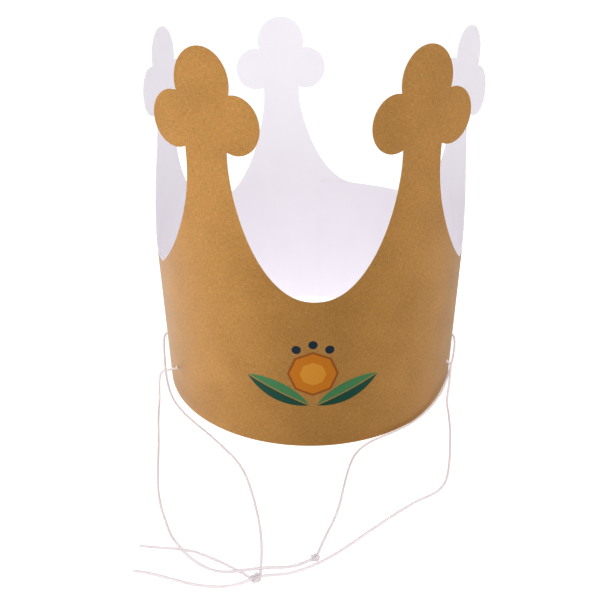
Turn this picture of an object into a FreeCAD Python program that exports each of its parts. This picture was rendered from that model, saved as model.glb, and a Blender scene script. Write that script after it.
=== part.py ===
import FreeCAD, Part
import math
import os

# Paper crown: one die-cut strip of thin card with five tall points, bent into a ring and
# glued where its plain end tab laps behind the last point, with a pair of punched holes at
# each side and two soft round threads that run through them and are knotted together.
# Millimetres and degrees. The ring stands on z = 0 with its axis on Z, the front faces -Y,
# and an angle counts from the front, positive towards +X.

Vector = FreeCAD.Vector
UP = Vector(0, 0, 1)

doc = FreeCAD.newDocument("paper_crown")

# Driving dimensions
SIZES = (
    ("card_thickness", 0.45),
    ("ring_radius", 91.0),
    ("valley_height", 88.6),
    ("point_height", 204.2),
    ("point_pitch", 66.0),
    ("front_turn", 1.8),
    ("left_slack", 4.8),
    ("neck_height", 156.0),
    ("neck_half_width", 12.0),
    ("neck_handle", 19.0),
    ("valley_handle", 24.0),
    ("side_neck_handle", 43.0),
    ("side_valley_handle", 1.5),
    ("top_lobe_radius", 15.2),
    ("side_lobe_radius", 13.0),
    ("side_lobe_offset", 17.0),
    ("side_lobe_height", 172.2),
    ("tab_height", 94.5),
    ("tab_neck_handle", 14.5),
    ("tab_valley_handle", 21.7),
    ("tab_lap", 16.0),
    ("uncurl_start", 95.0),
    ("uncurl_radius", 600.0),
    ("left_neck_shift", 4.8),
    ("left_lean", 3.2),
    ("right_neck_shift", 1.8),
    ("right_lean", -3.2),
    ("hole_height", 20.5),
    ("hole_radius", 1.5),
    ("left_front_hole", -61.0),
    ("left_rear_hole", -88.0),
    ("right_front_hole", 66.0),
    ("right_rear_hole", 88.0),
    ("thread_diameter", 1.3),
    ("tail_knot_length", 5.4),
    ("tail_knot_width", 4.8),
    ("tail_knot_height", 4.0),
    ("middle_knot_length", 4.2),
    ("middle_knot_width", 3.6),
    ("middle_knot_height", 3.4),
)
sheet = doc.addObject("Spreadsheet::Sheet", "sizes")
for row, (alias, value) in enumerate(SIZES, start=1):
    sheet.set(f"A{row}", alias)
    sheet.set(f"B{row}", str(value))
    sheet.setAlias(f"B{row}", alias)
doc.recompute()


def size(alias):
    return float(sheet.get(alias))


def on_ring(angle, height, radius):
    """A point at this angle from the front, height above the table and distance from the axis."""
    turn = math.radians(angle)
    return Vector(radius * math.sin(turn), -radius * math.cos(turn), height)


def shape_object(name, shape, turn=0):
    """A sub-part with this shape, turned about the ring's axis by this angle."""
    item = doc.addObject("Part::Feature", name)
    item.Shape = shape
    item.Placement = FreeCAD.Placement(Vector(), FreeCAD.Rotation(UP, turn))
    return item


def wall_face(outer, inner):
    """A flat face between two arcs in plan, each given by its start, middle and end point."""
    edges = [
        Part.Arc(*outer).toShape(),
        Part.LineSegment(outer[2], inner[2]).toShape(),
        Part.Arc(inner[2], inner[1], inner[0]).toShape(),
        Part.LineSegment(inner[0], outer[0]).toShape(),
    ]
    return Part.Face(Part.Wire(edges))


def ring_wall(start, end, height):
    """The card's wall standing on the table between two angles."""
    middle = (start + end) / 2
    card = size("card_thickness")
    outer = [on_ring(a, 0, size("ring_radius")) for a in (start, middle, end)]
    inner = [on_ring(a, 0, size("ring_radius") - card) for a in (start, middle, end)]
    return wall_face(outer, inner).extrude(UP * height)


# Each point is part of the ring as far up as uncurl_start. From there its card relaxes to
# the wider curve of uncurl_radius, and may lean towards the ring's axis.
NECK_SECTIONS = 5


def bent_section(height, bend_radius, shift):
    """The closed outline of the card at one height of a point that faces the front."""
    card = size("card_thickness")
    half_width = size("ring_radius") * math.radians(size("point_pitch") / 2)
    half_angle = half_width / bend_radius
    face_y = -size("ring_radius") + shift
    rim = []
    for radius in (bend_radius, bend_radius - card):
        ends = [
            Vector(side * radius * math.sin(half_angle),
                   face_y + bend_radius - radius * math.cos(half_angle), height)
            for side in (-1, 1)
        ]
        middle = Vector(0, face_y + bend_radius - radius, height)
        rim.append((ends[0], middle, ends[1]))
    outer, inner = rim
    return Part.Wire([
        Part.Arc(*outer).toShape(),
        Part.LineSegment(outer[2], inner[2]).toShape(),
        Part.Arc(inner[2], inner[1], inner[0]).toShape(),
        Part.LineSegment(inner[0], outer[0]).toShape(),
    ])


def upper_card(neck_shift, lean):
    """The uncut card above the ring for a point that faces the front."""
    start = size("uncurl_start")
    neck = size("neck_height")
    top = size("point_height") + size("top_lobe_radius")
    curl = 1 / size("ring_radius")
    relaxed = 1 / size("uncurl_radius")
    sections = []
    for step in range(NECK_SECTIONS + 1):
        share = step / NECK_SECTIONS
        blend = share * share * (3 - 2 * share)
        height = start + share * (neck - start)
        bend_radius = 1 / (curl + blend * (relaxed - curl))
        sections.append(bent_section(height, bend_radius, neck_shift * share**1.5))
    bend = Part.makeLoft(sections, True)
    slope = math.tan(math.radians(lean))
    head = Part.Face(sections[-1]).extrude(Vector(0, slope, 1) * (top - neck))
    return bend.fuse(head)


def flank(side, foot_height, neck_handle, foot_handle):
    """The curved side of a point, from its neck down to the foot of its valley."""
    foot_x = (size("ring_radius") - 2 * size("card_thickness")) * math.sin(
        math.radians(size("point_pitch") / 2)
    )
    curve = Part.BezierCurve()
    curve.setPoles([
        Vector(side * size("neck_half_width"), 0, size("neck_height")),
        Vector(side * size("neck_half_width"), 0, size("neck_height") - neck_handle),
        Vector(side * (foot_x - foot_handle), 0, foot_height),
        Vector(side * foot_x, 0, foot_height),
    ])
    return curve


def point_outline(left_foot, right_foot):
    """The flat cutting outline of one point, without its three lobes, as a face in XZ."""
    left, right = flank(-1, *left_foot), flank(1, *right_foot)
    edge_x = size("ring_radius")
    head_z = size("point_height") - size("top_lobe_radius")
    low = -size("card_thickness")
    corners = [
        right.EndPoint,
        Vector(edge_x, 0, right.EndPoint.z),
        Vector(edge_x, 0, low),
        Vector(-edge_x, 0, low),
        Vector(-edge_x, 0, left.EndPoint.z),
        left.EndPoint,
    ]
    edges = [right.toShape()]
    edges += [Part.LineSegment(a, b).toShape() for a, b in zip(corners, corners[1:])]
    edges.append(left.toShape())
    neck = [
        left.StartPoint,
        Vector(left.StartPoint.x, 0, head_z),
        Vector(right.StartPoint.x, 0, head_z),
        right.StartPoint,
    ]
    edges += [Part.LineSegment(a, b).toShape() for a, b in zip(neck, neck[1:])]
    return Part.Face(Part.Wire(Part.__sortEdges__(edges)))


def lobe_face(x, z, radius):
    circle = Part.Circle(Vector(x, 0, z), Vector(0, -1, 0), radius)
    return Part.Face(Part.Wire(circle.toShape()))


def make_point(name, angle, left_foot, right_foot, neck_shift=0, lean=0):
    """One point with the stretch of ring below it, cut out and turned to its place."""
    half = size("point_pitch") / 2
    card = ring_wall(-half, half, size("uncurl_start")).fuse(
        upper_card(neck_shift, lean)
    )
    top_z = size("point_height") - size("top_lobe_radius")
    faces = [
        point_outline(left_foot, right_foot),
        lobe_face(0, top_z, size("top_lobe_radius")),
        lobe_face(-size("side_lobe_offset"), size("side_lobe_height"), size("side_lobe_radius")),
        lobe_face(size("side_lobe_offset"), size("side_lobe_height"), size("side_lobe_radius")),
    ]
    reach = Vector(0, -2 * size("ring_radius"), 0)
    cutter = faces[0].extrude(reach)
    for face in faces[1:]:
        cutter = cutter.fuse(face.extrude(reach))
    return shape_object(name, card.common(cutter).removeSplitter(), angle)


# The five points. Those beside the glued seam keep a higher foot on that side, the two in
# front are cut in more sharply on their outer sides, and the side points lean.
valley_foot = (size("valley_height"), size("neck_handle"), size("valley_handle"))
side_foot = (size("valley_height"), size("side_neck_handle"), size("side_valley_handle"))
tab_foot = (size("tab_height"), size("tab_neck_handle"), size("tab_valley_handle"))
pitch = size("point_pitch")
front_left = size("front_turn") - pitch / 2
side_left = front_left - pitch - size("left_slack")
side_right = front_left + 2 * pitch
back = side_left - pitch
strip = [
    make_point("front_left_point", front_left, side_foot, valley_foot),
    make_point("front_right_point", front_left + pitch, valley_foot, side_foot),
    make_point("right_point", side_right, valley_foot, tab_foot,
               size("right_neck_shift"), size("right_lean")),
    make_point("left_point", side_left, valley_foot, valley_foot,
               size("left_neck_shift"), size("left_lean")),
    make_point("back_point", back, tab_foot, valley_foot),
]
strip.append(shape_object("left_valley", ring_wall(
    side_left + pitch / 2, front_left - pitch / 2, size("valley_height"))))

# The plain end tab carries on from the right-hand point. It steps in by one thickness of
# card on its way to the far end of the strip, and runs on behind it, glued.
FULL_TURN = 360
seam = FULL_TURN + back - pitch / 2
tab_root = side_right + pitch / 2
card = size("card_thickness")
rims = []
for inset in (0, card):
    radius = size("ring_radius") - inset
    rims.append([
        on_ring(tab_root, 0, radius),
        on_ring((tab_root + seam) / 2, 0, radius - card / 2),
        on_ring(seam, 0, radius - card),
    ])
step_in = wall_face(*rims).extrude(UP * size("tab_height"))
laps = []
for inset in (card, 2 * card):
    radius = size("ring_radius") - inset
    laps.append([on_ring(seam + share * size("tab_lap"), 0, radius) for share in (0, 0.5, 1)])
lap = wall_face(*laps).extrude(UP * size("tab_height"))
strip.append(shape_object("tab", step_in.fuse(lap).removeSplitter()))

glued = doc.addObject("Part::MultiFuse", "glued_ring")
glued.Shapes = strip
glued.Refine = True

# Punched string holes
holes = []
for name in ("left_front_hole", "left_rear_hole", "right_front_hole", "right_rear_hole"):
    punch = doc.addObject("Part::Cylinder", name + "_punch")
    punch.setExpression("Radius", "sizes.hole_radius")
    punch.setExpression("Height", "sizes.ring_radius / 4")
    start = on_ring(size(name), size("hole_height"), size("ring_radius") * 7 / 8)
    outward = on_ring(size(name), 0, 1)
    punch.Placement = FreeCAD.Placement(start, FreeCAD.Rotation(UP, outward))
    holes.append(punch)
punches = doc.addObject("Part::MultiFuse", "punches")
punches.Shapes = holes
band = doc.addObject("Part::Cut", "crown_band")
band.Base = glued
band.Tool = punches

# Thread routes, as the photograph shows them lying on the table in front of the crown.
# Left: tail, tail knot, rear strand up to the rear hole, stitch inside, front strand out
# of the front hole, over the tail and the rear strand, to the middle knot.
LEFT_ROUTE = (
    (-77.3, -161.0, 0.7), (-68.5, -162.1, 0.7), (-60.0, -162.6, 0.7), (-52.0, -164.1, 0.7),
    (-44.6, -167.5, 0.7), (-37.5, -171.1, 0.7), (-30.4, -175.2, 0.7), (-25.7, -178.8, 1.1),
    (-23.0, -179.9, 1.2), (-21.6, -178.0, 1.1), (-21.6, -173.6, 0.7), (-21.7, -166.2, 0.7),
    (-22.4, -157.2, 0.7), (-24.0, -147.4, 0.7), (-26.6, -136.4, 0.7), (-29.8, -124.8, 0.7),
    (-34.0, -112.8, 0.7), (-39.8, -102.4, 0.7), (-47.4, -93.0, 0.7), (-56.2, -82.4, 0.7),
    (-65.8, -72.2, 0.7), (-74.6, -61.8, 0.7), (-81.8, -51.2, 0.7), (-87.0, -39.6, 0.8),
    (-91.0, -27.6, 2.2), (-93.2, -18.6, 5.8), (-94.6, -11.6, 11.2), (-95.4, -6.2, 16.0),
    (-95.5, -3.5, 20.3), (-87.4, -3.0, 20.5), (-86.5, -11.8, 20.5), (-84.3, -23.4, 20.5),
    (-79.6, -33.8, 20.5), (-76.44, -42.37, 20.5), (-82.9, -45.95, 20.5), (-88.8, -45.6, 19.2),
    (-90.6, -45.4, 13.6), (-90.9, -47.6, 7.0), (-90.4, -52.6, 1.5), (-89.4, -60.6, 0.7),
    (-87.3, -71.8, 0.7), (-84.6, -84.2, 0.7), (-81.9, -97.8, 0.7), (-79.3, -112.4, 0.7),
    (-76.4, -125.6, 0.7), (-72.6, -137.4, 0.7), (-67.8, -148.0, 0.7), (-64.4, -155.2, 1.3),
    (-60.8, -161.4, 3.3), (-55.4, -167.6, 3.3), (-49.6, -171.6, 1.7), (-43.6, -174.2, 0.8),
    (-38.2, -176.2, 1.7), (-32.6, -177.2, 3.3), (-26.0, -176.0, 3.3), (-18.6, -175.1, 3.3),
    (-12.2, -173.8, 1.8), (-6.4, -172.2, 0.9), (-2.0, -170.2, 1.1), (1.2, -168.9, 1.5),
)
# Right: middle knot, rear strand along the foot of the ring to the rear hole, stitch
# inside, front strand out of the front hole, past the middle knot, tail knot, tail.
RIGHT_ROUTE = (
    (3.0, -167.0, 1.5), (5.0, -160.8, 0.8), (8.2, -152.6, 0.7), (11.6, -144.8, 0.7),
    (14.4, -135.4, 0.7), (16.6, -125.2, 0.7), (18.9, -114.6, 0.7), (22.4, -104.6, 0.7),
    (28.6, -96.4, 0.7), (37.4, -89.6, 0.7), (47.4, -83.2, 0.7), (57.4, -76.2, 0.7),
    (66.6, -67.8, 0.7), (74.6, -58.6, 0.7), (81.0, -48.6, 0.7), (85.6, -38.6, 0.8),
    (88.8, -29.4, 1.7), (91.0, -21.2, 4.6), (92.8, -13.8, 9.4), (94.2, -8.2, 14.8),
    (94.9, -3.3, 19.9), (87.35, -3.05, 20.5), (86.6, -12.2, 20.5), (83.2, -24.6, 20.5),
    (79.84, -35.55, 20.5), (85.4, -38.0, 20.3), (84.9, -39.1, 13.8), (84.4, -40.8, 8.0),
    (83.8, -44.8, 3.9), (83.2, -51.4, 1.3), (82.2, -61.0, 0.7), (80.0, -74.0, 0.7),
    (77.2, -89.0, 0.7), (74.6, -101.4, 0.7), (72.0, -111.4, 0.7), (69.3, -119.2, 0.7),
    (65.6, -125.0, 0.7), (60.0, -129.2, 0.7), (52.6, -133.1, 0.7), (44.0, -139.2, 0.7),
    (34.4, -146.8, 0.7), (25.2, -154.2, 0.7), (16.8, -161.4, 0.7), (8.8, -167.4, 0.7),
    (1.4, -171.8, 0.7), (-5.6, -175.0, 0.7), (-12.4, -177.2, 1.3), (-18.4, -178.5, 2.7),
    (-24.0, -180.1, 2.9), (-29.8, -182.1, 1.5), (-36.4, -183.1, 0.7), (-44.2, -182.7, 0.7),
    (-52.6, -181.2, 0.7), (-61.0, -178.5, 0.7), (-69.2, -176.0, 0.7), (-77.1, -174.7, 0.7),
)
BEND_SHARE = 0.45


def thread_path(route):
    """Straight runs joined by tangent arcs, each as large as its two runs allow."""
    points = [Vector(*p) for p in route]
    edges, radii = [], []
    last = points[0]
    for before, corner, after in zip(points, points[1:], points[2:]):
        back_way, on_way = before - corner, after - corner
        cut = BEND_SHARE * min(back_way.Length, on_way.Length)
        half_turn = (math.pi - back_way.getAngle(on_way)) / 2
        back_way.normalize()
        on_way.normalize()
        radius = cut / math.tan(half_turn)
        inside = (back_way + on_way).normalize()
        depth = radius / math.cos(half_turn) - radius
        start, end = corner + back_way * cut, corner + on_way * cut
        edges.append(Part.LineSegment(last, start).toShape())
        edges.append(Part.Arc(start, corner + inside * depth, end).toShape())
        radii.append(radius)
        last = end
    edges.append(Part.LineSegment(last, points[-1]).toShape())
    return Part.Wire(edges), radii


def make_thread(name, route):
    path, radii = thread_path(route)
    radius = size("thread_diameter") / 2
    start = Vector(*route[0])
    section = Part.Wire(Part.Circle(start, Vector(*route[1]) - start, radius).toShape())
    shape = path.makePipeShell([section], True, False)
    expected = math.pi * radius**2 * path.Length
    print(f"{name}: length {path.Length:.1f} mm, volume {shape.Volume:.1f} of {expected:.1f} mm3")
    print("  bend radii", " ".join(f"{r:.1f}" for r in radii))
    return shape_object(name, shape)


thread_left = make_thread("thread_left", LEFT_ROUTE)
thread_right = make_thread("thread_right", RIGHT_ROUTE)

# Knots, each a small tight bundle of thread lying on the table round both threads, with its
# middle this far to the right of the ring's axis and behind it.
TAIL_KNOT_PLACE = (-23.4, -179.5)
MIDDLE_KNOT_PLACE = (2.1, -168.3)


def make_knot(name, place):
    bundle = doc.addObject("Part::Ellipsoid", name + "_bundle")
    bundle.setExpression("Radius1", f"sizes.{name}_height / 2")
    bundle.setExpression("Radius2", f"sizes.{name}_width / 2")
    bundle.setExpression("Radius3", f"sizes.{name}_length / 2")
    centre = Vector(*place, size(name + "_height") / 2)
    bundle.Placement = FreeCAD.Placement(centre, FreeCAD.Rotation(UP, -90))
    threads = doc.addObject("Part::Compound", name + "_threads")
    threads.Links = [thread_left, thread_right]
    knot = doc.addObject("Part::Cut", name)
    knot.Base = bundle
    knot.Tool = threads
    return knot


tail_knot = make_knot("tail_knot", TAIL_KNOT_PLACE)
middle_knot = make_knot("middle_knot", MIDDLE_KNOT_PLACE)

NODES = {
    "crown_band": band,
    "thread_left": thread_left,
    "thread_right": thread_right,
    "tail_knot": tail_knot,
    "middle_knot": middle_knot,
}
doc.recompute()
for label, item in NODES.items():
    item.Label = label
for item in doc.Objects:
    if "Invalid" in item.State or "Error" in item.State:
        raise RuntimeError(f"{item.Name} did not build: {item.State}")
os.makedirs("parts", exist_ok=True)
for label, item in NODES.items():
    if item.Shape.isNull() or not item.Shape.isValid():
        raise RuntimeError(f"{label} has no valid shape")
for label, item in NODES.items():
    item.Shape.exportStep(f"parts/{label}.step")
    print(label, "solids", len(item.Shape.Solids), "faces", len(item.Shape.Faces),
          "volume", round(item.Shape.Volume, 1), "box", item.Shape.BoundBox)
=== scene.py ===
import math

import bmesh
import bpy
import numpy as np
from mathutils import Matrix, Vector
from mathutils.geometry import delaunay_2d_cdt


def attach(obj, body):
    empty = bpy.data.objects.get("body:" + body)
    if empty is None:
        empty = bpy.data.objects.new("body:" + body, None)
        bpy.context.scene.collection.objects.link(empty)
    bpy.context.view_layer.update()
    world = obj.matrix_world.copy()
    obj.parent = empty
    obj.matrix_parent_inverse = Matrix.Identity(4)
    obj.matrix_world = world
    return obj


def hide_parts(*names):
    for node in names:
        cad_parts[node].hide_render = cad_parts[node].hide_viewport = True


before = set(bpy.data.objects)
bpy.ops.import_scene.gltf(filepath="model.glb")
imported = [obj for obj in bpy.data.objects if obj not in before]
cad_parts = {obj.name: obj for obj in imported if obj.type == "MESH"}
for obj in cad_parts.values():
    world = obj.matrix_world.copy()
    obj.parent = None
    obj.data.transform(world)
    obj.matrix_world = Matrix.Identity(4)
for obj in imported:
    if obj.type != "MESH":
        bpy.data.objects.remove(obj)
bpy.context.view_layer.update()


# Crown. One die-cut strip of thin white card, printed satin gold on one face, bent into a
# ring with five tall trefoil points and glued where its plain end tab laps behind the
# last point. Four string holes are punched through it, two at each side.
CARD = 0.00045
RING = 0.091
PITCH = math.radians(66)
FRONT_LEFT = math.radians(-31.2)
SLACK = math.radians(4.8)
VALLEY = 0.0886
TAB_HEIGHT = 0.0945
TAB_LAP = math.radians(16)
UNCURL = 0.095
HEAD_BEND = 0.6
NECK = 0.156
NECK_HALF = 0.012
NECK_HANDLE = 0.019
TOP_LOBE = (0.0, 0.189, 0.0152)
SIDE_LOBE = (0.017, 0.1722, 0.013)
LEFT_SHIFT = 0.0048
LEFT_LEAN = math.tan(math.radians(3.2))
RIGHT_SHIFT = 0.0018
RIGHT_LEAN = math.tan(math.radians(-3.2))
HOLE_HEIGHT = 0.0205
HOLE = 0.0015
FOOT_OUT = RING * math.sin(PITCH / 2)
FOOT_FLAT = 0.0005

# Each string hole lies this many degrees from the middle of the point that carries it.
LEFT_REAR_HOLE = 14.0
LEFT_FRONT_HOLE = -29.8
RIGHT_FRONT_HOLE = 31.2
RIGHT_REAR_HOLE = -12.8

# How finely the card is cut into faces, inside and along its edges.
GRID = 0.002
ROW_STEP = GRID * 0.87
EDGE_GAP = GRID * 0.55
ARC_STEP = 0.0009
FLANK_POINTS = 76
BOTTOM_POINTS = 51
HOLE_POINTS = 24

# A flank is the height of its foot, then how far its curve runs down from the neck and
# out along the foot before it turns.
VALLEY_FLANK = (VALLEY, NECK_HANDLE, 0.024)
SIDE_FLANK = (VALLEY, 0.043, 0.0015)
TAB_FLANK = (TAB_HEIGHT, 0.0145, 0.0217)


def bent_card(x, z, depth, shift, lean):
    """Where card of a point that faces the front lies, this deep below its gold face."""
    share = np.clip((z - UNCURL) / (NECK - UNCURL), 0, 1)
    eased = share * share * (3 - 2 * share)
    bend = 1 / ((1 - eased) / RING + eased / HEAD_BEND)
    turn = np.arcsin(x / bend)
    inward = shift * share**1.5 + lean * np.maximum(z - NECK, 0)
    across = (bend - depth) * np.sin(turn)
    forward = inward + bend - RING - (bend - depth) * np.cos(turn)
    return np.stack([across, forward, z], 1)


def turned(places, angle):
    """Places turned about the ring's axis."""
    cos, sin = math.cos(angle), math.sin(angle)
    x, y, z = places.T
    return np.stack([x * cos - y * sin, x * sin + y * cos, z], 1)


def arc(centre_x, centre_z, radius, start, end):
    """Points along a lobe's edge, about a millimetre apart."""
    steps = max(3, round(abs(end - start) * radius / ARC_STEP))
    angles = np.linspace(start, end, steps)
    return np.stack([centre_x + radius * np.cos(angles), centre_z + radius * np.sin(angles)], 1)


def half_outline(foot, down, out):
    """The right-hand edge of a point, from its foot up to the middle of its top."""
    ends = np.array([
        (FOOT_OUT - FOOT_FLAT, foot),
        (FOOT_OUT - FOOT_FLAT - out, foot),
        (NECK_HALF, NECK - down),
        (NECK_HALF, NECK),
    ])
    share = np.linspace(0, 1, FLANK_POINTS)[:, None]
    weights = [(1 - share) ** 3, 3 * share * (1 - share) ** 2, 3 * share**2 * (1 - share), share**3]
    flank = sum(weight * end for weight, end in zip(weights, ends))
    side_x, side_z, side_r = SIDE_LOBE
    top_x, top_z, top_r = TOP_LOBE
    join = math.acos((NECK_HALF - side_x) / side_r)
    apart = math.hypot(side_x - top_x, side_z - top_z)
    towards = math.atan2(side_z - top_z, side_x - top_x)
    from_side = math.acos((side_r**2 + apart**2 - top_r**2) / (2 * side_r * apart))
    from_top = math.acos((top_r**2 + apart**2 - side_r**2) / (2 * top_r * apart))
    side = arc(side_x, side_z, side_r, -join, towards + math.pi - from_side)
    top = arc(top_x, top_z, top_r, towards + from_top, math.pi / 2)
    return np.concatenate([[(FOOT_OUT, foot)], flank, side, top[1:]])


def levels(foot):
    """Heights up a plain upright edge, from the table to the foot of the flank."""
    return np.linspace(0, foot, round(foot / GRID) + 1)


def outline_of_point(left, right):
    """The closed edge of one point and the ring below it, anticlockwise from bottom left."""
    floor = np.linspace(-FOOT_OUT, FOOT_OUT, BOTTOM_POINTS)
    bottom = np.stack([floor, 0 * floor], 1)
    right_edge = np.stack([np.full_like(levels(right[0]), FOOT_OUT), levels(right[0])], 1)
    left_edge = np.stack([np.full_like(levels(left[0]), -FOOT_OUT), levels(left[0])], 1)
    mirrored = half_outline(*left)[::-1] * (-1, 1)
    return np.concatenate([
        bottom, right_edge[1:], half_outline(*right)[1:], mirrored[1:-1], left_edge[::-1][:-1],
    ])


def inside(loop, places):
    """Whether each place lies inside a closed loop."""
    x, z = places.T
    found = np.zeros(len(places), bool)
    for (x0, z0), (x1, z1) in zip(loop, np.roll(loop, -1, axis=0)):
        if z0 != z1:
            spans = (z0 > z) != (z1 > z)
            found ^= spans & (x < (x1 - x0) * (z - z0) / (z1 - z0) + x0)
    return found


def cut_sheet(outline, holes):
    """Flat card cut to its outline and punched, as points and triangles."""
    low, high = outline.min(0), outline.max(0)
    rows = np.arange(low[1], high[1], ROW_STEP)
    fill = [
        (x, z)
        for row, z in enumerate(rows)
        for x in np.arange(low[0] + (row % 2) * GRID / 2, high[0], GRID)
    ]
    fill = np.array(fill)
    loops = [outline, *holes]
    edge = np.concatenate(loops)
    keep = inside(outline, fill)
    for hole in holes:
        keep &= ~inside(hole, fill)
    fill = fill[keep]
    nearest = np.full(len(fill), np.inf)
    for place in edge:
        nearest = np.minimum(nearest, np.hypot(*(fill - place).T))
    fill = fill[nearest > EDGE_GAP]
    links, first = [], 0
    for loop in loops:
        count = len(loop)
        links += [(first + i, first + (i + 1) % count) for i in range(count)]
        first += count
    flat = [Vector(place) for place in np.concatenate([edge, fill])]
    found = delaunay_2d_cdt(flat, links, [], 0, 1e-7)
    places = np.array([tuple(place) for place in found[0]])
    faces = np.array(found[2])
    middles = places[faces].mean(1)
    keep = inside(outline, middles)
    for hole in holes:
        keep &= ~inside(hole, middles)
    return places, faces[keep]


def punched(offset):
    """A string hole this many degrees from a point's middle, drawn flat."""
    around = np.linspace(0, 2 * math.pi, HOLE_POINTS, endpoint=False)
    across = math.radians(offset) + HOLE * np.cos(around) / RING
    return np.stack([RING * np.sin(across), HOLE_HEIGHT + HOLE * np.sin(around)], 1)


class Strip:
    """The card as it is put together: gold side, white side, faces and places on the strip."""

    def __init__(self):
        self.gold = []
        self.white = []
        self.flat = []
        self.faces = []
        self.shared = {}

    def add(self, gold, white, flat, faces):
        """Adds a stretch of card, and joins it where its edge is already there."""
        numbers = []
        for outer, inner, place in zip(gold, white, flat):
            key = (round(place[0], 5), round(place[1], 5))
            if key not in self.shared:
                self.shared[key] = len(self.gold)
                self.gold.append(tuple(outer))
                self.white.append(tuple(inner))
                self.flat.append(tuple(place))
            numbers.append(self.shared[key])
        self.faces += [tuple(numbers[i] for i in face) for face in faces]

    def add_point(self, angle, left, right, holes=(), shift=0.0, lean=0.0):
        """One point and the ring below it, turned to its angle from the front."""
        places, faces = cut_sheet(outline_of_point(left, right), [punched(h) for h in holes])
        x, z = places.T
        gold = turned(bent_card(x, z, 0, shift, lean), angle)
        white = turned(bent_card(x, z, CARD, shift, lean), angle)
        along = angle * RING + RING * np.arcsin(np.clip(x / RING, -1, 1))
        self.add(gold, white, np.stack([along, z], 1), faces)

    def add_wall(self, start, end, height, inset_start=0.0, inset_end=0.0):
        """Plain wall between two angles, stepping in from one inset to the other."""
        columns = max(2, round((end - start) * RING / GRID) + 1)
        angles = np.linspace(start, end, columns)
        rows = levels(height)
        angle, z = (grid.ravel() for grid in np.meshgrid(angles, rows, indexing="ij"))
        share = (angle - start) / (end - start)
        radius = RING - inset_start - (inset_end - inset_start) * share * share * (3 - 2 * share)
        sides = []
        for depth in (0, CARD):
            r = radius - depth
            sides.append(np.stack([r * np.sin(angle), -r * np.cos(angle), z], 1))
        tall = len(rows)
        faces = [
            (a * tall + b, (a + 1) * tall + b, (a + 1) * tall + b + 1, a * tall + b + 1)
            for a in range(columns - 1)
            for b in range(tall - 1)
        ]
        self.add(*sides, np.stack([angle * RING, z], 1), faces)


front_right = FRONT_LEFT + PITCH
side_right = front_right + PITCH
side_left = FRONT_LEFT - PITCH - SLACK
back = side_left - PITCH
seam = 2 * math.pi + back - PITCH / 2
strip = Strip()
strip.add_point(back, TAB_FLANK, VALLEY_FLANK)
strip.add_point(side_left, VALLEY_FLANK, VALLEY_FLANK, [LEFT_REAR_HOLE], LEFT_SHIFT, LEFT_LEAN)
strip.add_wall(side_left + PITCH / 2, FRONT_LEFT - PITCH / 2, VALLEY)
strip.add_point(FRONT_LEFT, SIDE_FLANK, VALLEY_FLANK, [LEFT_FRONT_HOLE])
strip.add_point(front_right, VALLEY_FLANK, SIDE_FLANK, [RIGHT_FRONT_HOLE])
strip.add_point(side_right, VALLEY_FLANK, TAB_FLANK, [RIGHT_REAR_HOLE], RIGHT_SHIFT, RIGHT_LEAN)
strip.add_wall(side_right + PITCH / 2, seam, TAB_HEIGHT, 0, CARD)
strip.add_wall(seam, seam + TAB_LAP, TAB_HEIGHT, CARD, CARD)

GOLD_FACE, WHITE_FACE, CUT_EDGE = range(3)
crown_mesh = bpy.data.meshes.new("crown_card")
work = bmesh.new()
gold_side = [work.verts.new(place) for place in strip.gold]
white_side = [work.verts.new(place) for place in strip.white]
for face in strip.faces:
    work.faces.new([gold_side[i] for i in face]).material_index = GOLD_FACE
rim = [edge for edge in work.edges if len(edge.link_faces) == 1]
for face in strip.faces:
    work.faces.new([white_side[i] for i in reversed(face)]).material_index = WHITE_FACE
number = {vert: i for i, vert in enumerate(gold_side)}
for edge in rim:
    loop = edge.link_loops[0]
    a, b = loop.vert, loop.link_loop_next.vert
    cut = work.faces.new([b, a, white_side[number[a]], white_side[number[b]]])
    cut.material_index = CUT_EDGE
for face in work.faces:
    face.smooth = True
for edge in work.edges:
    edge.smooth = len({face.material_index for face in edge.link_faces}) == 1
work.to_mesh(crown_mesh)
work.free()
places_on_strip = crown_mesh.attributes.new("strip_place", "FLOAT_VECTOR", "POINT")
flat = np.array(strip.flat + strip.flat)
places_on_strip.data.foreach_set("vector", np.pad(flat, ((0, 0), (0, 1))).ravel())
crown = bpy.data.objects.new("crown_card", crown_mesh)
bpy.context.collection.objects.link(crown)
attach(crown, "root")
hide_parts("crown_band")


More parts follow.
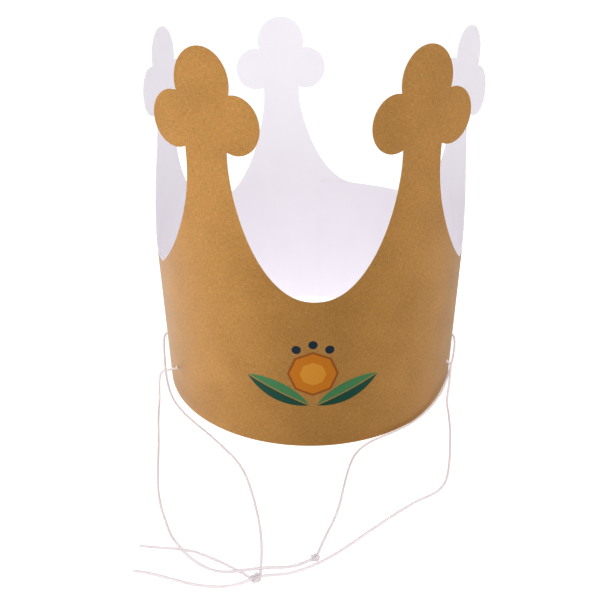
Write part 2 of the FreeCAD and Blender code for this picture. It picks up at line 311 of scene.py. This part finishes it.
class Shade:
    """A value in a material; arithmetic on it adds Math nodes."""

    def __init__(self, tree, socket=None):
        self.tree, self.socket = tree, socket

    def node(self, kind, settings=None, sockets=None, output=0):
        """Adds a node, sets it up, feeds its sockets, and gives one of its outputs."""
        made = self.tree.nodes.new(kind)
        for name, setting in (settings or {}).items():
            setattr(made, name, setting)
        for name, value in (sockets or {}).items():
            if isinstance(value, Shade):
                self.tree.links.new(value.socket, made.inputs[name])
            else:
                made.inputs[name].default_value = value
        return Shade(self.tree, made.outputs[output])

    def arithmetic(self, operation, first, second=0.0):
        return self.node("ShaderNodeMath", {"operation": operation}, {0: first, 1: second})

    def __add__(self, other):
        return self.arithmetic("ADD", self, other)

    def __radd__(self, other):
        return self.arithmetic("ADD", other, self)

    def __sub__(self, other):
        return self.arithmetic("SUBTRACT", self, other)

    def __rsub__(self, other):
        return self.arithmetic("SUBTRACT", other, self)

    def __mul__(self, other):
        return self.arithmetic("MULTIPLY", self, other)

    def __rmul__(self, other):
        return self.arithmetic("MULTIPLY", other, self)

    def __abs__(self):
        return self.arithmetic("ABSOLUTE", self)

    def below(self, limit, soft):
        """1 where the value is under the limit, with an edge this soft."""
        settings = {"interpolation_type": "SMOOTHSTEP"}
        return self.node("ShaderNodeMapRange", settings, {
            "Value": self, "From Min": limit - soft, "From Max": limit + soft,
            "To Min": 1.0, "To Max": 0.0,
        })

    def mix(self, share, first, second):
        """A colour between two, by this share."""
        return self.node("ShaderNodeMix", {"data_type": "RGBA"}, {0: share, 6: first, 7: second}, 2)


def new_material(name, **plain):
    """A material with its one surface shader, and the shade to write its nodes with."""
    material = bpy.data.materials.new(name)
    material.use_nodes = True
    surface = material.node_tree.nodes["Principled BSDF"]
    for socket, value in plain.items():
        surface.inputs[socket.replace("_", " ")].default_value = value
    return material, surface, Shade(material.node_tree)


def feed(shade, surface, **sockets):
    """Links what varies over a piece to its surface."""
    for name, value in sockets.items():
        shade.tree.links.new(value.socket, surface.inputs[name.replace("_", " ")])


GOLD = (0.53, 0.262, 0.058, 1)
COPPER = (0.42, 0.168, 0.05, 1)
SHADE_GOLD = (0.26, 0.125, 0.018, 1)
ORANGE = (0.55, 0.17, 0.002, 1)
PALE_ORANGE = (0.66, 0.27, 0.02, 1)
RUST = (0.3, 0.075, 0.004, 1)
LEAF = (0.05, 0.2, 0.07, 1)
PINE = (0.002, 0.06, 0.034, 1)
INK = (0.003, 0.02, 0.035, 1)

# The gold's grain, in waves a metre, and how much each part of it shows.
LINEN_ACROSS = 1900.0
LINEN_ALONG = 420.0
SPECKLES = 900.0
GOLD_CLOUDS = 45.0
LINEN_SHOWS = 2.2
CLOUDS_SHOW = 0.7
GOLD_SHARE = 0.55
COPPER_FROM = 0.45
COPPER_SHOWS = 2.5

gold, surface, shade = new_material("gold_card", Metallic=0.55, Roughness=0.42)
place = shade.node("ShaderNodeAttribute", {"attribute_name": "strip_place"}, output=1)
along, height = (shade.node("ShaderNodeSeparateXYZ", None, {0: place}, axis) for axis in range(2))
weaves = []
for across, up in ((LINEN_ALONG, LINEN_ACROSS), (LINEN_ACROSS, LINEN_ALONG)):
    spread = shade.node("ShaderNodeCombineXYZ", None, {0: along * across, 1: height * up})
    weaves.append(shade.node(
        "ShaderNodeTexNoise", None, {"Vector": spread, "Scale": 1.0, "Detail": 3.0}))
linen = (weaves[0] + weaves[1]) * 0.5
speckle = shade.node("ShaderNodeTexNoise", None, {"Vector": place, "Scale": SPECKLES, "Detail": 2.0})
cloud = shade.node("ShaderNodeTexNoise", None, {"Vector": place, "Scale": GOLD_CLOUDS, "Detail": 3.0})
tone = (linen - 0.5) * LINEN_SHOWS + (cloud - 0.5) * CLOUDS_SHOW + GOLD_SHARE
paper = shade.mix(tone, SHADE_GOLD, GOLD)
paper = shade.mix((speckle - COPPER_FROM) * COPPER_SHOWS, paper, COPPER)

# Printed on the front: an orange cut stone over a pair of green leaves, with three beads.
# Its right half is drawn, and the left half mirrors it.
PRINT_ALONG = 0.0016
PRINT_HEIGHT = 0.047
SOFT = 0.00015
LEAF_MIDDLE = (0.0185, -0.0115)
LEAF_WAY = (0.9, 0.436)
LEAF_HALF_WIDTH = 0.0056
LEAF_CURVE = 0.034
VEIN_HALF_WIDTH = 0.0003
EIGHT_SIDES = (0.924, 0.383)
STONE = ((0.0125, RUST), (0.0113, ORANGE), (0.0064, PALE_ORANGE))
BEADS = ((0.0, 0.0175), (0.0085, 0.0145))
BEAD_RADIUS = 0.0024
x = abs(along - PRINT_ALONG)
z = height - PRINT_HEIGHT
outward = (x - LEAF_MIDDLE[0]) * LEAF_WAY[0] + (z - LEAF_MIDDLE[1]) * LEAF_WAY[1]
sideways = (z - LEAF_MIDDLE[1]) * LEAF_WAY[0] - (x - LEAF_MIDDLE[0]) * LEAF_WAY[1]
thick = abs(sideways) + (LEAF_CURVE - LEAF_HALF_WIDTH)
leaf = shade.arithmetic("SQRT", outward * outward + thick * thick).below(LEAF_CURVE, SOFT)
vein = abs(sideways).below(VEIN_HALF_WIDTH, SOFT)
colour = shade.mix(leaf, paper, shade.mix(sideways.below(0.0, SOFT), LEAF, PINE))
colour = shade.mix(leaf * vein, colour, paper)
longer = shade.arithmetic("MAXIMUM", x, abs(z))
shorter = shade.arithmetic("MINIMUM", x, abs(z))
facet = longer * EIGHT_SIDES[0] + shorter * EIGHT_SIDES[1]
for reach, ink in STONE:
    colour = shade.mix(facet.below(reach, SOFT), colour, ink)
for aside, over in BEADS:
    away = (x - aside) * (x - aside) + (z - over) * (z - over)
    colour = shade.mix(shade.arithmetic("SQRT", away).below(BEAD_RADIUS, SOFT), colour, INK)
bump = shade.node("ShaderNodeBump", None, {
    "Height": linen + speckle * 0.5, "Strength": 0.3, "Distance": 0.00015})
feed(shade, surface, Base_Color=colour, Normal=bump)

BACK_GREY = (0.80, 0.765, 0.815, 1)
BACK_PALE = (0.86, 0.825, 0.87, 1)
white, surface, shade = new_material("white_card_back", Roughness=0.62)
place = shade.node("ShaderNodeAttribute", {"attribute_name": "strip_place"}, output=1)
fibres = shade.node("ShaderNodeTexNoise", None, {"Vector": place, "Scale": 900.0, "Detail": 4.0})
clouds = shade.node("ShaderNodeTexNoise", None, {"Vector": place, "Scale": 60.0, "Detail": 2.0})
tint = shade.mix(clouds * 0.6 + fibres * 0.4, BACK_GREY, BACK_PALE)
bump = shade.node("ShaderNodeBump", None, {
    "Height": fibres, "Strength": 0.15, "Distance": 0.0001})
feed(shade, surface, Base_Color=tint, Normal=bump)

EDGE_GREY = (0.66, 0.62, 0.58, 1)
EDGE_PALE = (0.88, 0.86, 0.84, 1)
edge_white, surface, shade = new_material("cut_card_edge", Roughness=0.8)
place = shade.node("ShaderNodeNewGeometry", output=0)
fibres = shade.node("ShaderNodeTexNoise", None, {"Vector": place, "Scale": 2500.0, "Detail": 3.0})
tint = shade.mix(fibres, EDGE_GREY, EDGE_PALE)
feed(shade, surface, Base_Color=tint)
for material in (gold, white, edge_white):
    crown_mesh.materials.append(material)


# Threads. Two soft white round elastic threads, each passed through the two holes on one
# side of the ring, so that a short stitch lies inside, with both ends brought forward
# over the table, where they are knotted together and end in two loose tails.
THREAD = 0.0013
KNOT_POINTS = 36
THREAD_GREY = (0.84, 0.76, 0.785, 1)
THREAD_PALE = (0.97, 0.92, 0.935, 1)
WINDINGS = 1500.0
TWO_ROUNDS = 12.566

elastic, surface, shade = new_material(
    "clear_elastic", Roughness=0.3, Transmission_Weight=0.35, IOR=1.3)
wound = shade.node("ShaderNodeTexCoord", output=2)
lengthwise, around = (
    shade.node("ShaderNodeSeparateXYZ", None, {0: wound}, axis) for axis in range(2))
braid = shade.arithmetic("SINE", lengthwise * WINDINGS + around * TWO_ROUNDS)
counter = shade.arithmetic("SINE", lengthwise * WINDINGS - around * TWO_ROUNDS)
weave = braid * counter * 0.5 + 0.5
tint = shade.mix(weave, THREAD_GREY, THREAD_PALE)
bump = shade.node("ShaderNodeBump", None, {"Height": weave, "Strength": 0.4, "Distance": 0.0001})
feed(shade, surface, Base_Color=tint, Normal=bump)


def lay_thread(name, node, route, **facts):
    """One strand of thread as a smooth round curve along its route."""
    line = bpy.data.curves.new(name, "CURVE")
    line.dimensions = "3D"
    line.bevel_depth = THREAD / 2
    line.bevel_resolution = 4
    line.resolution_u = 8
    line.use_fill_caps = True
    spline = line.splines.new("NURBS")
    spline.points.add(len(route) - 1)
    for point, (x, y, z) in zip(spline.points, route):
        point.co = (x, y, z, 1)
    spline.order_u = 3
    spline.use_endpoint_u = True
    line.materials.append(elastic)
    strand = bpy.data.objects.new(name, line)
    bpy.context.collection.objects.link(strand)
    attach(strand, "root")
    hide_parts(node)


def tie_knot(name, centre, size, turn):
    """A small tight knot: the thread's own trefoil turn, drawn up into a bundle."""
    line = bpy.data.curves.new(name, "CURVE")
    line.dimensions = "3D"
    line.bevel_depth = THREAD / 2
    line.bevel_resolution = 4
    line.use_fill_caps = True
    spline = line.splines.new("NURBS")
    spline.points.add(KNOT_POINTS - 1)
    for step, point in enumerate(spline.points):
        t = 2 * math.pi * step / KNOT_POINTS
        ring = 2 + math.cos(3 * t)
        x, y = ring * math.cos(2 * t) / 3, ring * math.sin(2 * t) / 3
        spot = Matrix.Rotation(turn, 3, "Z") @ Vector((x * size[0], y * size[1], 0))
        lift = math.sin(3 * t) * size[2]
        point.co = (centre[0] + spot.x, centre[1] + spot.y, centre[2] + lift, 1)
    spline.order_u = 4
    spline.use_cyclic_u = True
    line.materials.append(elastic)
    knot = bpy.data.objects.new(name, line)
    bpy.context.collection.objects.link(knot)
    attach(knot, "root")
    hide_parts(name)
    knot.name = name + "_tied"
    return knot


tail_knot = tie_knot(
    "tail_knot", centre=(-0.0234, -0.1795, 0.0020), size=(0.0020, 0.0017, 0.0012), turn=0.5)
middle_knot = tie_knot(
    "middle_knot", centre=(0.0021, -0.1683, 0.0017), size=(0.0015, 0.0012, 0.0009), turn=0.2)

LEFT_REAR = (
    (-0.0908, -0.0032, 0.0204), (-0.0935, -0.0033, 0.0212), (-0.0951, -0.0046, 0.0194),
    (-0.0953, -0.0068, 0.0155), (-0.0946, -0.0116, 0.0112), (-0.0932, -0.0186, 0.0058),
    (-0.0910, -0.0276, 0.0022),
    (-0.0870, -0.0396, 0.0008), (-0.0818, -0.0512, 0.0007), (-0.0746, -0.0618, 0.0007),
    (-0.0658, -0.0722, 0.0007), (-0.0562, -0.0824, 0.0007), (-0.0474, -0.0930, 0.0007),
    (-0.0398, -0.1024, 0.0007), (-0.0340, -0.1128, 0.0007), (-0.0298, -0.1248, 0.0007),
    (-0.0266, -0.1364, 0.0007), (-0.0240, -0.1474, 0.0007), (-0.0224, -0.1572, 0.0007),
    (-0.0217, -0.1662, 0.0007), (-0.0216, -0.1736, 0.0007), (-0.0216, -0.1780, 0.0011),
    (-0.0230, -0.1799, 0.0012), (-0.0257, -0.1788, 0.0011), (-0.0304, -0.1752, 0.0007),
    (-0.0375, -0.1711, 0.0007), (-0.0446, -0.1675, 0.0007), (-0.0520, -0.1641, 0.0007),
    (-0.0600, -0.1626, 0.0007), (-0.0685, -0.1621, 0.0007), (-0.0773, -0.1610, 0.0007),
)
LEFT_STITCH = (
    (-0.0908, -0.0032, 0.0204), (-0.0874, -0.0030, 0.0205), (-0.0865, -0.0118, 0.0205),
    (-0.0843, -0.0234, 0.0205), (-0.0796, -0.0338, 0.0205), (-0.07644, -0.04237, 0.0205),
    (-0.0794, -0.0440, 0.0205),
)
LEFT_FRONT = (
    (-0.0794, -0.0440, 0.0205), (-0.0829, -0.04595, 0.0205), (-0.0888, -0.0456, 0.0192),
    (-0.0906, -0.0454, 0.0136), (-0.0909, -0.0476, 0.0070), (-0.0904, -0.0526, 0.0015),
    (-0.0894, -0.0606, 0.0007), (-0.0873, -0.0718, 0.0007), (-0.0846, -0.0842, 0.0007),
    (-0.0819, -0.0978, 0.0007), (-0.0793, -0.1124, 0.0007), (-0.0764, -0.1256, 0.0007),
    (-0.0726, -0.1374, 0.0007), (-0.0678, -0.1480, 0.0007), (-0.0644, -0.1552, 0.0013),
    (-0.0608, -0.1614, 0.0033), (-0.0554, -0.1676, 0.0033), (-0.0496, -0.1716, 0.0017),
    (-0.0436, -0.1742, 0.0008), (-0.0382, -0.1762, 0.0017), (-0.0326, -0.1772, 0.0033),
    (-0.0260, -0.1760, 0.0033), (-0.0186, -0.1751, 0.0033), (-0.0122, -0.1738, 0.0018),
    (-0.0064, -0.1722, 0.0009), (-0.0020, -0.1702, 0.0011), (0.0012, -0.1689, 0.0015),
)
RIGHT_REAR = (
    (0.0908, -0.0032, 0.0201), (0.0934, -0.0044, 0.0204), (0.0936, -0.0095, 0.0182),
    (0.0925, -0.0150, 0.0154), (0.0904, -0.0218, 0.0126), (0.0876, -0.0294, 0.0102),
    (0.0841, -0.0382, 0.0084), (0.0799, -0.0466, 0.0064), (0.0748, -0.0548, 0.0042),
    (0.0676, -0.0634, 0.0021), (0.0590, -0.0716, 0.0009), (0.0496, -0.0786, 0.0007),
    (0.0394, -0.0844, 0.0007), (0.0310, -0.0900, 0.0007), (0.0250, -0.0972, 0.0007),
    (0.0214, -0.1054, 0.0007), (0.0189, -0.1146, 0.0007), (0.0166, -0.1252, 0.0007),
    (0.0144, -0.1354, 0.0007), (0.0116, -0.1448, 0.0007), (0.0082, -0.1526, 0.0007),
    (0.0050, -0.1608, 0.0008), (0.0030, -0.1670, 0.0015),
)
RIGHT_STITCH = (
    (0.0908, -0.0032, 0.0201), (0.08735, -0.00305, 0.0205), (0.0866, -0.0122, 0.0205),
    (0.0832, -0.0246, 0.0205), (0.07984, -0.03555, 0.0205), (0.0830, -0.0370, 0.0204),
)
RIGHT_FRONT = (
    (0.0830, -0.0370, 0.0204), (0.0854, -0.0380, 0.0203), (0.0853, -0.0396, 0.0150),
    (0.0848, -0.0424, 0.0096), (0.0835, -0.0470, 0.0049), (0.0818, -0.0530, 0.0016),
    (0.0814, -0.0610, 0.0007), (0.0806, -0.0680, 0.0007), (0.0796, -0.0760, 0.0007),
    (0.0772, -0.0890, 0.0007),
    (0.0746, -0.1014, 0.0007), (0.0720, -0.1114, 0.0007), (0.0693, -0.1192, 0.0007),
    (0.0656, -0.1250, 0.0007), (0.0600, -0.1292, 0.0007), (0.0526, -0.1331, 0.0007),
    (0.0440, -0.1392, 0.0007), (0.0344, -0.1468, 0.0007), (0.0252, -0.1542, 0.0007),
    (0.0168, -0.1614, 0.0007), (0.0088, -0.1674, 0.0007), (0.0014, -0.1718, 0.0007),
    (-0.0056, -0.1750, 0.0007), (-0.0124, -0.1772, 0.0013), (-0.0184, -0.1785, 0.0027),
    (-0.0240, -0.1801, 0.0029), (-0.0298, -0.1821, 0.0015), (-0.0364, -0.1831, 0.0007),
    (-0.0442, -0.1827, 0.0007), (-0.0526, -0.1812, 0.0007), (-0.0610, -0.1785, 0.0007),
    (-0.0692, -0.1760, 0.0007), (-0.0771, -0.1747, 0.0007),
)
lay_thread("left_rear_strand", "thread_left", LEFT_REAR, length=0.262, lay="loose",
           far_end="bare", with_pieces=[tail_knot])
lay_thread("left_stitch", "thread_left", LEFT_STITCH, length=0.048, lay="taut",
           far_end="object")
lay_thread("left_front_strand", "thread_left", LEFT_FRONT, length=0.207, lay="loose",
           far_end="knot", with_pieces=[middle_knot])
lay_thread("right_rear_strand", "thread_right", RIGHT_REAR, length=0.200, lay="loose",
           far_end="knot", with_pieces=[middle_knot])
lay_thread("right_stitch", "thread_right", RIGHT_STITCH, length=0.040, lay="taut",
           far_end="object")
lay_thread("right_front_strand", "thread_right", RIGHT_FRONT, length=0.262, lay="loose",
           far_end="bare", with_pieces=[tail_knot])


# Table. The plain matt white surface that the crown stands on, far wider than the picture.
# It glows a little, so that it is pure white around the crown, and the gold doesn't mirror it.
TABLE_SIZE = 60
TABLE_GLOW = 0.55
bpy.ops.mesh.primitive_plane_add(size=TABLE_SIZE)
table = bpy.context.object
table.name = "table"
table_white, surface, shade = new_material(
    "table_white", Base_Color=(0.9, 0.9, 0.9, 1), Roughness=0.9,
    Emission_Color=(1, 1, 1, 1), Emission_Strength=TABLE_GLOW)
table.data.materials.append(table_white)
table.visible_glossy = False


# Light. A white room. What the gold mirrors below the crown is a sheet that is bright at
# the sides, most of all at the left, and one broad lamp stands in front.
ROOM = 0.72
BACK_BRIGHTER = 0.2
SIDES_BRIGHTER = 0.9
LEFT_BRIGHTER = 0.45
SHEET_DIMMER = 0.15
LAMP_PLACE = (0.0, -1.2, 1.5)
LAMP_WIDTH = 1.0
LAMP_WATTS = 14
LAMP_AIM = (0, 0, 0.08)
world = bpy.data.worlds.new("studio")
world.use_nodes = True
sky = Shade(world.node_tree)
way = sky.node("ShaderNodeTexCoord", output=0)
rightward, backward, skyward = (
    sky.node("ShaderNodeSeparateXYZ", None, {0: way}, axis) for axis in range(3))
sheet = rightward * rightward * SIDES_BRIGHTER - rightward * LEFT_BRIGHTER - SHEET_DIMMER
glow = backward * BACK_BRIGHTER + sheet * skyward.below(0.0, 0.1) + ROOM
sky.tree.links.new(glow.socket, sky.tree.nodes["Background"].inputs["Strength"])
sky.tree.nodes["Background"].inputs["Color"].default_value = (1, 1, 1, 1)
bpy.context.scene.world = world
lamp = bpy.data.lights.new("front_lamp", "AREA")
lamp.size = LAMP_WIDTH
lamp.energy = LAMP_WATTS
holder = bpy.data.objects.new("front_lamp", lamp)
bpy.context.collection.objects.link(holder)
holder.location = LAMP_PLACE
beam = Vector(LAMP_AIM) - Vector(LAMP_PLACE)
holder.rotation_euler = beam.to_track_quat("-Z", "Y").to_euler()
bpy.context.scene.view_settings.view_transform = "Standard"


# Camera. It stands where the photograph was taken from: in front of the crown and above it,
# looking down, and turned and tipped by less than a degree.
LENS = 38.504
SENSOR = 36
CAMERA_PLACE = (0.0, -0.3721, 0.2348)
PITCH_DOWN = math.radians(27.68)
YAW = math.radians(-0.47)
ROLL = math.radians(-0.35)
lens = bpy.data.cameras.new("camera")
lens.sensor_width = SENSOR
lens.lens = LENS
camera = bpy.data.objects.new("camera", lens)
bpy.context.collection.objects.link(camera)
aim = Vector((math.sin(YAW) * math.cos(PITCH_DOWN), math.cos(YAW) * math.cos(PITCH_DOWN),
              -math.sin(PITCH_DOWN)))
level = Vector((math.cos(YAW), -math.sin(YAW), 0))
upright = level.cross(aim)
right = level * math.cos(ROLL) + upright * math.sin(ROLL)
upward = upright * math.cos(ROLL) - level * math.sin(ROLL)
stance = Matrix((right, upward, -aim)).transposed().to_4x4()
camera.matrix_world = Matrix.Translation(CAMERA_PLACE) @ stance
bpy.context.scene.camera = camera
